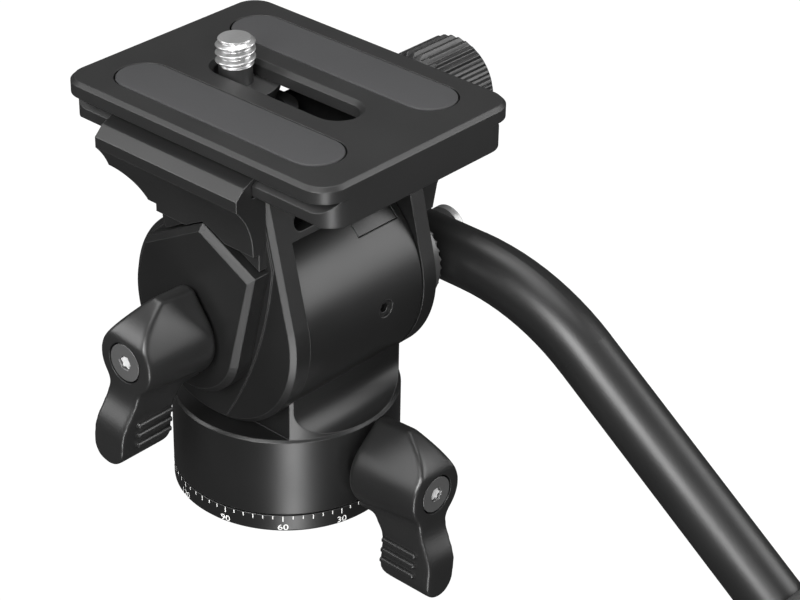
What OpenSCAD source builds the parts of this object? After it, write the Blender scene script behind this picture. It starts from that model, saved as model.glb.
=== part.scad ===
// Fluid video head: pan base, tilt drum held in a yoke, dovetail clamp with its
// quick-release plate, two wing lock knobs and a cranked pan handle.
// Millimetres. Origin in the middle of the tripod face, +Z up, +Y towards the lens,
// tilt axis along X, operator's right at +X.

/* [Pan base] */
// Radius of the scale ring and of the pan housing
base_r = 18.33; // [17:0.05:26]
// Height of the fixed scale ring
ring_h = 3.1; // [2.8:0.1:5]
// Running seam between the ring and the housing
seam = 0.3; // [0.2:0.05:0.6]
// Height of the housing's flat shoulder
shoulder_z = 17.1; // [16:0.1:17.3]
// Radius of the scoop from the shoulder up to the neck
scoop_r = 5; // [3:0.1:6]
// Bright turned chamfer on the base's edges
base_chamfer = 0.4; // [0.2:0.05:0.8]

/* [Pan bearing] */
// Radius of the pan spindle in the housing
spindle_r = 7.5; // [7:0.1:9]
// Radius of the spindle's flange
flange_r = 12; // [11.5:0.1:14]
// Thickness of the spindle's flange
flange_t = 1.9; // [1.5:0.1:2.5]
// Thickness of the thrust washer
thrust_t = 0.6; // [0.4:0.05:1]
// Length of the spindle's bearing
bearing_len = 6.7; // [5:0.1:6.8]
// Radius of the chamber above the bearing
chamber_r = 9; // [8.6:0.1:10.5]
// Thickness of the pan washer above the bearing
pan_washer_t = 0.8; // [0.5:0.1:1.2]
// Height of the wave spring
pan_spring_h = 1.3; // [0.8:0.1:1.8]
// Width of the pan nut across flats
nut_af = 13; // [11:0.1:14]
// Height of the pan nut
nut_h = 3; // [2:0.1:3.4]
// Radius of the threaded top of the spindle
spindle_top_r = 4; // [3:0.1:4.5]
// Radius of the tripod bush
bush_r = 5.6; // [5:0.1:6]
// Wall radius of the tripod thread, a 3/8 inch tap size
tripod_r = 4; // [3.9:0.05:4.2]
// Length of the tripod bush
bush_len = 9; // [7:0.1:10]
// Pitch circle radius of the three base screws
base_screw_pcr = 9.6; // [9.4:0.1:10]

/* [Tilt drum] */
// Gap between the housing's shoulder and the swing of the arms
shoulder_gap = 0.6; // [0.5:0.05:1.5]
// Radius of the drum
drum_r = 17.4; // [16:0.1:17.5]
// Length of the drum along the tilt axis
drum_len = 25; // [24:0.1:30]
// Radius of the drum's bore
drum_bore_r = 11.5; // [10.5:0.1:12]
// Thickness of the bushes in the drum's ends
tilt_bush_t = 3; // [2.5:0.1:3.3]
// Radius of the tilt axle
axle_r = 5; // [4:0.1:5.5]
// Thickness of a drag disc
disc_t = 1.6; // [1:0.1:1.6]
// Distance from one drag disc to the next
disc_pitch = 2; // [2:0.05:2.1]

/* [Tilt yoke] */
// Running gap between drum and arm
arm_gap = 0.2; // [0.1:0.05:0.5]
// Thickness of an arm
arm_t = 3.65; // [3:0.05:6]
// Radius of an arm's lower end about the tilt axis
arm_r = 17.2; // [16.8:0.1:19]
// Set of the arms' round end behind the tilt axis
arm_set = 0.4; // [0:0.05:0.8]
// Bright chamfer round an arm's outer face
arm_chamfer = 0.75; // [0.3:0.05:1]
// Lean of an arm's rear edge from the upright
arm_taper = 13.6; // [10:0.1:18]
// Height of the clamp seat above the tilt axis
clamp_rise = 26.5; // [26:0.1:34]
// Thickness of the platform between the arms
platform_t = 5.6; // [4:0.1:6]
// Centre of the clamp along Y
clamp_y = -2.3; // [-4:0.1:0]
// Half length of the platform along Y
platform_half = 10.9; // [9:0.1:12]
// Height of the cross bar below the platform
bar_h = 1; // [0.8:0.1:1.6]
// Height of the window between the bar and the platform
window_h = 2.8; // [2:0.1:3.2]
// Height of the raised face on the left arm
boss_h = 0.35; // [0.2:0.05:0.6]

/* [Quick-release plate] */
// Width of the plate over its flanges
plate_w = 41.6; // [41:0.1:50]
// Length of the plate
plate_l = 55; // [50:0.5:90]
// Thickness of the plate
plate_t = 6.83; // [6.2:0.01:9]
// Centre of the plate along Y
plate_y = -0.6; // [-8:0.1:8]
// Corner radius of the plate
plate_corner_r = 4.2; // [3:0.1:6]
// Thickness of the flange above the groove
flange_h = 2.5; // [2.4:0.1:4]
// Drop of the ridge's edge below the flange
ridge_drop = 2.35; // [1.5:0.05:2.5]
// Depth of the V groove from the flange's edge
groove_d = 4.2; // [3.5:0.1:4.4]
// Step of the dovetail ridge in from the flange's edge
ridge_in = 1.45; // [1:0.05:1.6]
// Corner radius of the dovetail ridge
ridge_corner_r = 4.2; // [2:0.1:6]
// Chamfer round the plate's top
plate_chamfer = 0.6; // [0.3:0.05:1]
// Half width of the screw slot
slot_half = 3.4; // [3.2:0.1:4]
// Length of the screw slot
slot_l = 28; // [20:0.5:36]
// Centre of the screw slot along Y
slot_y = -0.4; // [-3:0.1:3]
// Chamfer round the slot's mouth
slot_chamfer = 0.7; // [0.3:0.05:0.9]
// Width of a rubber pad
pad_w = 9.4; // [6:0.1:10]
// Length of a rubber pad
pad_l = 44.6; // [36:0.1:60]
// Distance of a pad's centre line from the plate's
pad_x = 12.2; // [11:0.1:14]
// Depth of the pad recess
pad_d = 0.9; // [0.5:0.1:1.2]

/* [Camera screw] */
// Thread radius of the camera screw, 1/4 inch
screw_r = 3.1; // [3:0.05:3.2]
// Height of the screw's end above the plate
screw_rise = 4.7; // [4:0.1:6]
// Radius of the screw's head under the plate
screw_head_r = 6.2; // [5:0.1:7]
// Reach of the folding ring from the screw's axis
ring_reach = 11; // [9:0.1:11.5]

/* [Dovetail clamp] */
// Length of the jaws along Y
jaw_l = 29.8; // [24:0.1:34]
// Clearance between a jaw lip and the plate
lip_gap = 0.15; // [0.1:0.01:0.3]
// Thickness of a jaw outside the plate
jaw_t = 3.1; // [2.6:0.1:4]
// Width and height of the bevel along a jaw's top
jaw_bevel = 1.6; // [1:0.05:2]
// Radius of the hollow down a jaw's side
jaw_hollow_r = 11.7; // [9:0.1:14]
// Depth of a jaw's side below the seat
jaw_side = 9.2; // [8:0.1:10]
// Thickness of the fixed jaw's foot on the arm
jaw_foot_t = 1.5; // [1.2:0.05:2.2]
// Radius of the clamp knob over its ribs
clamp_knob_r = 7.9; // [6.5:0.1:8.2]
// Length of the clamp knob's ribbed barrel
clamp_knob_l = 10.2; // [6:0.1:14]
// Ribs round the clamp knob
clamp_ribs = 32; // [16:1:48]
// Radius of the clamp screw
clamp_screw_r = 3; // [2:0.1:3]
// Height of the clamp screw above the tilt axis
clamp_screw_rise = 22.1; // [21.9:0.1:23]
// Radius of the jaw's guide pins
pin_r = 1.5; // [1:0.1:1.6]

/* [Wing knobs] */
// Hub radius of a wing knob
hub_r = 6.7; // [6:0.1:8]
// Distance of the knob's face from its foot
knob_l = 13.55; // [12:0.05:18]
// Reach of the lever from the knob's axis
lever_reach = 17.5; // [16:0.1:20]
// Half width of the lever
lever_half = 3.15; // [2.5:0.05:4]
// Outward kick of the lever's tip
lever_kick = 2.7; // [1:0.05:4]
// Radius of the lever's toe
toe_r = 1.7; // [1:0.1:4]
// Angle of both levers from straight down
lever_set = -6.5; // [-30:0.5:30]
// Radius of the metal end cap
cap_r = 3; // [2:0.1:3.5]
// Radius of the studs the knobs turn on
stud_r = 3; // [2.5:0.1:3]
// Height of the pan lock's axis
pan_lock_z = 9.9; // [9:0.1:12]
// Gap between the housing and the foot of the pan knob
knob_gap = 0.4; // [0.3:0.05:1]

/* [Tilt cover] */
// Thickness of the cover's upright wall
cover_t = 2.75; // [2.6:0.05:4]
// Bevel round the cover's face
cover_bevel = 0.9; // [0.4:0.05:1.2]
// Radius of the cover's lower end
cover_r = 10.6; // [9:0.1:11]
// Radius of the cover's curved front edge
cover_front_r = 20.6; // [18:0.1:24]
// Height of the cover's gable above the tilt axis
roof_peak = 18.7; // [17.5:0.1:19.5]

/* [Pan handle] */
// Distance of the handle's pivot behind the tilt axis
pivot_back = 6.8; // [6.8:0.1:9]
// Plane of the handle's centre line along X
handle_x = 24.7; // [24.5:0.1:30]
// Radius of the handle's tube
tube_r = 4.9; // [4:0.1:6]
// Wall of the handle's tube
tube_wall = 1.2; // [0.8:0.1:2]
// Straight run from the pivot to the bend
handle_run = 10.8; // [10:0.1:16]
// Centre line radius of the bend
bend_r = 39.4; // [25:0.1:60]
// Downward angle of the bend
bend_angle = 35.88; // [10:0.1:60]
// Straight tube from the bend to the grip
shaft_l = 48; // [45:0.5:90]
// Length of the grip
grip_l = 100; // [70:1:130]
// Radius of the grip
grip_r = 8; // [7:0.1:12]
// Radius of the rosette on the arm
rosette_r = 8.8; // [7:0.1:9]
// Thickness of the rosette
rosette_t = 3.1; // [2.4:0.1:3.6]
// Radius of the handle's bolt
bolt_r = 2.5; // [2:0.1:2.5]
// Radius of the bolt's head
bolt_head_r = 3.5; // [3:0.1:4.6]
// Height of the bolt's head
bolt_head_h = 1.6; // [1.2:0.1:3]

/* [Fits] */
// Radial running clearance of turning and sliding fits
run_fit = 0.05; // [0.02:0.01:0.1]
// Radial clearance of pieces fixed in each other
press_fit = 0.02; // [0.01:0.01:0.05]
// Clearance that keeps moving faces apart
air = 0.3; // [0.3:0.05:0.6]

/* [Hidden] */
$fn = 64;
eps = 0.01;
black = "#26272a";
dark = "#343539";
steel = "#a9abad";
brass = "#b5924c";
rubber = "#3c3c3d";
// levels of the pan bearing
flange_top = ring_h + flange_t;
race_z = flange_top + thrust_t;
bearing_top = race_z + bearing_len;
washer_top = bearing_top + pan_washer_t;
spring_top = washer_top + pan_spring_h;
nut_top = spring_top + nut_h;
spindle_top = nut_top + 0.4;
spigot_r = bush_r + 1.2;
base_screw_r = 1.25;
base_screw_head = 2.3;
base_screw_cone = 1.3;
neck_half_y = base_r - scoop_r;
// tilt axis and drum
tilt_z = shoulder_z + shoulder_gap + arm_r + arm_set;
drum_half = drum_len / 2;
drum_floor = tilt_z - drum_bore_r;
plug_t = 1.6;
grub_x = 4.2;
grub_r = 1.5;
inset_x = 2.5;
inset_end = drum_half - 1.2;
inset_half = 3.6;
inset_d = 0.9;
inset_angle = 37;
seal_r = 0.7;
axle_end_r = 3.2;
// pan lock
shoe_l = 2;
shoe_r = 2.2;
shoe_y = spindle_r + air + shoe_l;
insert_r = stud_r + 0.9;
insert_l = knob_l - 2.2;
body_r = 5.3;
ridge_v = hub_r + 1.1;
// planes of the yoke, clamp and plate
arm_in = drum_half + arm_gap;
arm_out = arm_in + arm_t;
axle_grub_r = 1.25;
axle_grub_x = arm_in + arm_t / 2 - 0.2;
axle_grub_z = arm_r - 0.7;
boss_mid = [54, 20.7];
boss_r = 68;
seat_z = tilt_z + clamp_rise;
platform_front = clamp_y + platform_half;
plate_z = seat_z + 0.1;
plate_top = plate_z + plate_t;
flange_z = plate_top - flange_h;
half_w = plate_w / 2;
ridge_x = half_w - ridge_in;
groove_x = half_w - groove_d;
ridge_z = flange_z - ridge_drop;
wall_x = ridge_x + lip_gap;
lip_tip = [groove_x + 1, flange_z - ridge_drop / (ridge_x - groove_x) + 1.2 * lip_gap];
screw_neck_r = screw_r - 0.5;
screw_y = slot_y + slot_l / 2 - slot_half;
pocket_half_x = ring_reach + 1;
pocket_half_y = slot_l / 2 + ring_reach - 0.5;
pocket_top = flange_z;
washer_z = pocket_top - 0.8;
head_z = washer_z - 1.4;
clamp_screw_z = tilt_z + clamp_screw_rise;
clamp_boss_r = clamp_screw_r + 0.9;
jaw_in = arm_out + 0.55;
jaw_back = clamp_y - platform_half + 0.6;
jaw_foot_z = tilt_z + rosette_r + 0.8;
jaw_out = wall_x + jaw_t + 0.3;
jaw_side_z = seat_z - jaw_side;
jaw_screw_r = 1.25;
jaw_head_r = 1.7;
jaw_head_t = 1.4;
jaw_screw_z = seat_z - platform_t - 1.9;
jaw_screw_dy = 6;
clamp_screw_x0 = -6;
clip_r = clamp_screw_r + 1.4;
knob_cone_x = jaw_out + 0.9;
knob_rib_x = knob_cone_x + 3.7;
knob_end_x = knob_rib_x + clamp_knob_l;
pin_x0 = 6;
pin_z = seat_z - 2.8;
pin_dy = platform_half - 3.2;
// planes of the left side
left_face = arm_out + boss_h;
pad_face = left_face + jaw_foot_t;
cover_in = left_face + 0.05;
cover_edge = cover_in + cover_t;
cover_face = cover_edge + cover_bevel;
stud_end = cover_face + knob_l - 2.4;
cover_low = [1.1, -0.6];
cover_front = [-8.5, 3];
roof_back = [-13.1, 13.4];
roof_front = [12, roof_peak - 7.9];
washer_r = 6.2;
washer_t = 1.2;
cover_screw_r = 1.28;
cover_head_r = 2.2;
cover_head_t = 1.5;
cover_screw_y = 6.6;
cover_screw_z = 9;
// planes of the right side and the handle
pivot_y = -pivot_back;
rosette_out = arm_out + rosette_t;
tube_flat = rosette_out + 0.7;
tube_out = handle_x + tube_r;
tube_end = 5.6;
bend_y = pivot_y - handle_run;
bend_z = tilt_z - bend_r;
bend_end = [bend_y - bend_r * sin(bend_angle), bend_z + bend_r * cos(bend_angle)];
pan_knob_y = base_r + knob_gap;

// y of the arms' leaning rear edge at a height above the tilt axis
function rear_y(h) = (h - arm_r * sin(arm_taper)) * tan(arm_taper) - arm_r * cos(arm_taper)
    - arm_set;

module x_cyl(r, x0, x1) {
    translate([x0, 0, 0]) rotate([0, 90, 0]) cylinder(r = r, h = x1 - x0);
}

module y_cyl(r, y0, y1) {
    translate([0, y0, 0]) rotate([-90, 0, 0]) cylinder(r = r, h = y1 - y0);
}

module x_ring(r_in, r_out, x0, x1) {
    difference() {
        x_cyl(r_out, x0, x1);
        x_cyl(r_in, x0 - 1, x1 + 1);
    }
}

module z_ring(r_in, r_out, z0, z1) {
    translate([0, 0, z0]) difference() {
        cylinder(r = r_out, h = z1 - z0);
        translate([0, 0, -1]) cylinder(r = r_in, h = z1 - z0 + 2);
    }
}

// outline in the YZ plane, drawn out along X
module yz_prism(x0, x1) {
    translate([x0, 0, 0]) rotate([90, 0, 90]) linear_extrude(x1 - x0) children();
}

// outline in the XZ plane, drawn out along Y
module xz_prism(y0, y1) {
    translate([0, y1, 0]) rotate([90, 0, 0]) linear_extrude(y1 - y0) children();
}

module at_tilt() {
    translate([0, 0, tilt_z]) children();
}

module at_clamp() {
    translate([0, clamp_y, clamp_screw_z]) children();
}

module at_pivot() {
    translate([0, pivot_y, tilt_z]) children();
}

module at_camera_screw() {
    translate([0, screw_y, 0]) children();
}

// knob frames: local Z runs out along the stud, local Y is up
module at_pan_knob() {
    translate([0, -pan_knob_y, pan_lock_z]) rotate([90, 0, 0]) children();
}

module at_tilt_knob() {
    translate([-cover_face, 0, tilt_z]) rotate([90, 0, -90]) children();
}

// frame of the straight shaft: local Z runs from the bend to the grip
module at_shaft() {
    translate([handle_x, bend_end[0], bend_end[1]]) rotate([90 + bend_angle, 0, 0]) children();
}

module each_base_screw() {
    for (a = [30, 150, 270]) rotate(a) translate([base_screw_pcr, 0, 0]) children();
}

module each_side() {
    children();
    mirror([1, 0, 0]) children();
}

// fixed scale ring, screwed to the spindle's flange from below
module base_ring() {
    color(black) difference() {
        rotate_extrude() polygon([
            [spigot_r + press_fit, 0], [base_r - base_chamfer, 0], [base_r, base_chamfer],
            [base_r, ring_h], [spigot_r + press_fit, ring_h]]);
        each_base_screw() {
            translate([0, 0, -eps])
                cylinder(r1 = base_screw_head + 0.1, r2 = base_screw_r + 0.1, h = base_screw_cone);
            cylinder(r = base_screw_r + 0.1, h = ring_h + 1);
        }
    }
}

module base_screws() {
    color(steel) each_base_screw() difference() {
        union() {
            translate([0, 0, 0.1]) cylinder(r1 = base_screw_head, r2 = base_screw_r, h = 1.2);
            translate([0, 0, base_screw_cone])
                cylinder(r = base_screw_r, h = flange_top - 0.3 - base_screw_cone);
        }
        translate([0, 0, -eps]) cylinder(r = 0.9, h = 0.8, $fn = 6);
    }
}

// spigot in the ring, flange, bearing and threaded top of the pan axis
module pan_spindle() {
    color(steel) difference() {
        rotate_extrude() polygon([
            [0, 0.2], [spigot_r, 0.2], [spigot_r, ring_h], [flange_r, ring_h],
            [flange_r, flange_top], [spindle_r, flange_top], [spindle_r, bearing_top - 0.2],
            [spindle_top_r, bearing_top - 0.2], [spindle_top_r, spindle_top], [0, spindle_top]]);
        translate([0, 0, -1]) cylinder(r = bush_r + press_fit, h = bush_len + 1.2);
        each_base_screw() cylinder(r = base_screw_r + press_fit, h = flange_top - 0.2);
    }
}

module tripod_bush() {
    color(brass) z_ring(tripod_r, bush_r, 0, bush_len);
}

module pan_thrust_washer() {
    color("#d8d4c8") z_ring(spindle_r + air, flange_r - air, flange_top, race_z);
}

module pan_top_washer() {
    color(steel) z_ring(spindle_top_r + press_fit, chamber_r - air, bearing_top, washer_top);
}

module pan_spring() {
    color(steel) z_ring(spindle_top_r + press_fit, chamber_r - 2 * air, washer_top, spring_top);
}

module pan_nut() {
    color(steel) translate([0, 0, spring_top]) difference() {
        cylinder(r = nut_af / 2 / cos(30), h = nut_h, $fn = 6);
        translate([0, 0, -1]) cylinder(r = spindle_top_r + press_fit, h = nut_h + 2);
    }
}

// round pan housing, scooped neck and tilt drum in one casting
module pan_housing() {
    color(black) difference() {
        union() {
            rotate_extrude() polygon([
                [0, ring_h + seam], [base_r, ring_h + seam], [base_r, shoulder_z - base_chamfer],
                [base_r - base_chamfer, shoulder_z], [0, shoulder_z]]);
            intersection() {
                yz_prism(-drum_half, drum_half) difference() {
                    translate([-base_r, bearing_top])
                        square([2 * base_r, tilt_z - bearing_top]);
                    for (s = [-1, 1]) {
                        translate([s * base_r, shoulder_z + scoop_r]) circle(r = scoop_r);
                        translate([s * (neck_half_y + base_r) - base_r, shoulder_z + scoop_r])
                            square([2 * base_r, tilt_z]);
                    }
                }
                cylinder(r = base_r - base_chamfer, h = tilt_z);
            }
            at_tilt() x_cyl(drum_r, -drum_half, drum_half);
        }
        translate([0, 0, ring_h]) cylinder(r = flange_r + air, h = race_z - ring_h);
        translate([0, 0, race_z - 1]) cylinder(r = spindle_r + run_fit, h = bearing_len + 2);
        translate([0, 0, bearing_top]) cylinder(r = chamber_r, h = tilt_z - bearing_top);
        at_tilt() x_cyl(drum_bore_r, -drum_half - 1, drum_half + 1);
        translate([0, 0, pan_lock_z]) {
            y_cyl(stud_r + run_fit, -base_r - 1, -shoe_y);
            y_cyl(shoe_r + run_fit, -shoe_y - 0.5, -spindle_r + 1);
        }
        at_tilt() translate([grub_x, 0, 0]) y_cyl(grub_r + press_fit, -drum_r - 1, -drum_bore_r + 1);
        at_tilt() rotate([inset_angle, 0, 0]) translate([inset_x, -inset_half, drum_r - inset_d])
            cube([inset_end - inset_x, 2 * inset_half, drum_r]);
    }
}

// inset plate let into the drum's upper back
module drum_plate() {
    gap = 0.15;
    color(black) at_tilt() intersection() {
        rotate([inset_angle, 0, 0]) translate([inset_x + gap, gap - inset_half, drum_r - inset_d])
            cube([inset_end - inset_x - 2 * gap, 2 * (inset_half - gap), drum_r]);
        x_cyl(drum_r, -drum_half, drum_half, $fn = 240);
    }
}

module neck_plug() {
    color(dark) translate([0, 0, drum_floor - plug_t - 0.6])
        cylinder(r = chamber_r - press_fit, h = plug_t);
}

module pan_brake_shoe() {
    color(brass) translate([0, 0, pan_lock_z]) difference() {
        y_cyl(shoe_r, -shoe_y, -spindle_r + 1);
        translate([0, 0, -shoe_r - 1]) cylinder(r = spindle_r + air, h = 2 * shoe_r + 2);
    }
}

// sintered bushes that carry the axle in the drum's ends
module tilt_bushes() {
    color(brass) at_tilt() each_side() difference() {
        x_ring(axle_r + run_fit, drum_bore_r - press_fit, drum_half - tilt_bush_t, drum_half);
        x_ring(axle_r - 1, axle_r + 2 * seal_r + 0.2, drum_half - tilt_bush_t / 2 - seal_r - run_fit,
            drum_half - tilt_bush_t / 2 + seal_r + run_fit);
    }
}

module tilt_seals() {
    color("#1d1d1e") at_tilt() each_side() translate([drum_half - tilt_bush_t / 2, 0, 0])
        rotate([0, 90, 0]) rotate_extrude() translate([axle_r + seal_r + 0.1, 0]) circle(r = seal_r);
}

module drag_stator_discs() {
    color(steel) at_tilt() for (k = [-4 : 2 : 4])
        x_ring(axle_r + 0.6, drum_bore_r - press_fit, k * disc_pitch - disc_t / 2,
            k * disc_pitch + disc_t / 2);
}

module drag_rotor_discs() {
    color(brass) at_tilt() for (k = [-3 : 2 : 3])
        x_ring(axle_r + press_fit, drum_bore_r - 0.5, k * disc_pitch - disc_t / 2,
            k * disc_pitch + disc_t / 2);
}

module drum_grub_screw() {
    color(steel) at_tilt() translate([grub_x, 0, 0]) difference() {
        y_cyl(grub_r, -drum_r + 0.4, -drum_bore_r - 0.5);
        translate([0, -drum_r, 0]) rotate([-90, 0, 0]) cylinder(r = 0.85, h = 1.8, $fn = 6);
    }
}

// lever outline seen along the stud: round body, waisted lever, narrow top ridge
module wing_front() {
    fillet_r = 3;
    fx = lever_half + fillet_r;
    fy = sqrt(pow(body_r + fillet_r, 2) - fx * fx);
    touch = body_r / (body_r + fillet_r);
    circle(r = body_r);
    translate([-lever_half, lever_half - lever_reach])
        square([2 * lever_half, lever_reach - lever_half]);
    translate([0, lever_half - lever_reach]) circle(r = lever_half);
    difference() {
        translate([-fx * touch, -fy]) square([2 * fx * touch, fy - fy * touch]);
        for (s = [-1, 1]) translate([s * fx, -fy]) circle(r = fillet_r);
    }
    polygon([[-body_r * 0.8, body_r * 0.6], [body_r * 0.8, body_r * 0.6],
        [0.8, ridge_v], [-0.8, ridge_v]]);
}

// lever outline seen from the side: x is the distance from the foot, y is up
module wing_side() {
    tip = -lever_reach;
    kick = knob_l + lever_kick;
    steps = 8;
    function ease(t) = (1 - cos(180 * t)) / 2;
    front_top = -0.9 * body_r;
    front_foot = tip + 0.3 * lever_reach;
    front = [for (i = [0 : steps])
        [knob_l + lever_kick * ease(i / steps), front_top + (front_foot - front_top) * i / steps]];
    toe = [for (i = [0 : 5]) [kick - toe_r + toe_r * cos(18 * i), tip + toe_r - toe_r * sin(18 * i)]];
    heel = [for (i = [0 : 4]) [8.4 - 2.4 * sin(22.5 * i), tip + 2.4 - 2.4 * cos(22.5 * i)]];
    back = [for (i = [0 : steps]) [6 - 3.6 * ease(i / steps), tip + 7 + 6.5 * i / steps]];
    polygon(concat([[0.3, 5], [0.3, ridge_v - 0.5], [knob_l * 0.51, ridge_v],
        [knob_l * 0.93, ridge_v - 2.2], [knob_l, ridge_v - 3.8]], front, toe, heel, back));
}

// wing knob: necked hub, waisted lever with a kicked tip and grip ribs on both push faces
module wing_knob() {
    rotate(lever_set) difference() {
        union() {
            cylinder(r = insert_r + 0.8, h = knob_l * 0.5);
            translate([0, 0, 1.8]) cylinder(r1 = hub_r, r2 = body_r - 0.3, h = knob_l - 3.4);
            intersection() {
                linear_extrude(knob_l + lever_kick) wing_front();
                rotate([0, -90, 0]) translate([0, 0, -hub_r]) linear_extrude(2 * hub_r) wing_side();
            }
            for (s = [-1, 1]) for (k = [0 : 2])
                translate([s * (lever_half - 0.15), -lever_reach + 4.3 + k * 1.6, 6.8])
                    cylinder(r = 0.5, h = 6.4);
        }
        translate([0, 0, knob_l - 2]) cylinder(r = cap_r + 0.15, h = lever_kick + 3);
        translate([0, 0, -1]) cylinder(r = insert_r + press_fit, h = knob_l - 1);
    }
}

module knob_cap() {
    difference() {
        translate([0, 0, knob_l - 2]) cylinder(r = cap_r, h = 1.9);
        translate([0, 0, knob_l - 1.1]) cylinder(r = 1.3, h = 2, $fn = 6);
    }
}

module pan_lock_knob() {
    color(dark) at_pan_knob() wing_knob();
}

module pan_lock_cap() {
    color(steel) at_pan_knob() knob_cap();
}

// stud that turns in the housing and presses the brake shoe, with its splined sleeve
module pan_lock_stud() {
    color(steel) union() {
        translate([0, 0, pan_lock_z])
            y_cyl(stud_r, -pan_knob_y - 1, -shoe_y);
        at_pan_knob() cylinder(r = insert_r, h = insert_l);
    }
}

module tilt_lock_knob() {
    color(dark) at_tilt_knob() wing_knob();
}

module tilt_lock_cap() {
    color(steel) at_tilt_knob() knob_cap();
}

module tilt_lock_insert() {
    color(brass) at_tilt_knob() z_ring(stud_r + run_fit, insert_r, 0, insert_l);
}

// outline of the cover: gable under the jaw, round lower end, long curve down the front
module cover_outline(inset) {
    intersection() {
        translate(cover_front) circle(r = cover_front_r - inset);
        union() {
            translate(cover_low) circle(r = cover_r - inset);
            polygon([
                [clamp_y, roof_peak - 1.2 * inset], roof_back + [inset, -0.9 * inset],
                [cover_low[0] - cover_r + inset, cover_low[1]],
                [cover_low[0] + cover_r - inset, cover_low[1]],
                roof_front + [0, -1.2 * inset]]);
        }
    }
}

module tilt_cover() {
    color(black) at_tilt() difference() {
        mirror([1, 0, 0]) hull() {
            yz_prism(cover_in, cover_edge) cover_outline(0);
            yz_prism(cover_face - eps, cover_face) cover_outline(cover_bevel);
        }
        x_cyl(stud_r + air, -cover_face - 1, -arm_out + 1);
        x_cyl(washer_r + air, -cover_in - washer_t - 0.2, -arm_out + 1);
        each_cover_screw() x_cyl(cover_screw_r + press_fit, -cover_edge, -arm_out + 1);
    }
}

module each_cover_screw() {
    for (s = [-1, 1]) translate([0, clamp_y / 2 + s * cover_screw_y, cover_screw_z]) children();
}

// screws from inside the arm that hold the cover
module cover_screws() {
    color(steel) at_tilt() each_cover_screw() {
        x_cyl(cover_screw_r, -cover_edge + 0.3, -arm_in - cover_head_t + 0.1);
        x_cyl(cover_head_r, -arm_in - cover_head_t, -arm_in - 0.2);
    }
}

module tilt_spring_washers() {
    color(steel) at_tilt() x_ring(stud_r + press_fit, washer_r, -cover_in - washer_t, -left_face);
}

// axle: drum part, shouldered right end, left stud for the lock knob
module tilt_axle() {
    color(steel) at_tilt() union() {
        x_cyl(axle_r, -arm_out, arm_in);
        x_cyl(axle_end_r, arm_in - 1, arm_out - 0.1);
        x_cyl(stud_r, -stud_end, -arm_out + 1);
    }
}

// set screws in the arms' lower rims that lock the yoke to the axle
module axle_grub_screws() {
    color(steel) at_tilt() for (e = [[-1, axle_r], [1, axle_end_r]])
        translate([e[0] * axle_grub_x, 0, -axle_grub_z])
            difference() {
                cylinder(r = axle_grub_r, h = axle_grub_z - e[1] - press_fit);
                translate([0, 0, -1]) cylinder(r = 0.75, h = 2.2, $fn = 6);
            }
}

// one arm: round lower end, leaning rear edge, upright front edge, chamfered outer face
module yoke_arm() {
    translate([0, -arm_set, 0]) rotate([90, 0, 90]) rotate(180 - arm_taper)
        rotate_extrude(angle = 270) polygon([
            [0, arm_in], [arm_r, arm_in], [arm_r, arm_out - arm_chamfer],
            [arm_r - arm_chamfer, arm_out], [0, arm_out]]);
    intersection() {
        translate([0, -arm_set, 0]) rotate([-arm_taper, 0, 0]) translate([0, -arm_r, 0])
            linear_extrude(2 * clamp_rise) polygon([
                [arm_in, 0], [arm_out - arm_chamfer, 0], [arm_out, arm_chamfer],
                [arm_out, 3 * arm_r], [arm_in, 3 * arm_r]]);
        translate([arm_in - 1, -2 * arm_r, -arm_r])
            cube([arm_t + 2, 2 * arm_r + platform_front, arm_r + clamp_rise]);
    }
}

// raised face of the left arm that cover and fixed jaw sit on, ending on a long curve
module arm_boss() {
    inset = arm_chamfer + 0.3;
    intersection() {
        translate(boss_mid) circle(r = boss_r);
        union() {
            translate([-arm_set, 0]) circle(r = arm_r - inset);
            intersection() {
                translate([-arm_set, 0]) rotate(-arm_taper) translate([inset - arm_r, 0])
                    square(3 * arm_r);
                translate([-arm_r, 0]) square([arm_r + platform_front - inset, clamp_rise - inset]);
            }
        }
    }
}

// thin bar across the yoke's back, with a round-ended window between it and the platform
module rear_bar() {
    depth = 2;
    low = clamp_rise - platform_t - window_h - bar_h;
    high = clamp_rise - 1;
    difference() {
        yz_prism(-arm_in - 1, arm_in + 1) polygon([
            [rear_y(low), low], [rear_y(high), high], [rear_y(high) + depth, high],
            [rear_y(low) + depth, low]]);
        xz_prism(-2 * arm_r, 0) translate([0, low + bar_h + window_h / 2])
            rounded_rect(2 * arm_in - 2, window_h, window_h / 2 - eps);
    }
}

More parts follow.
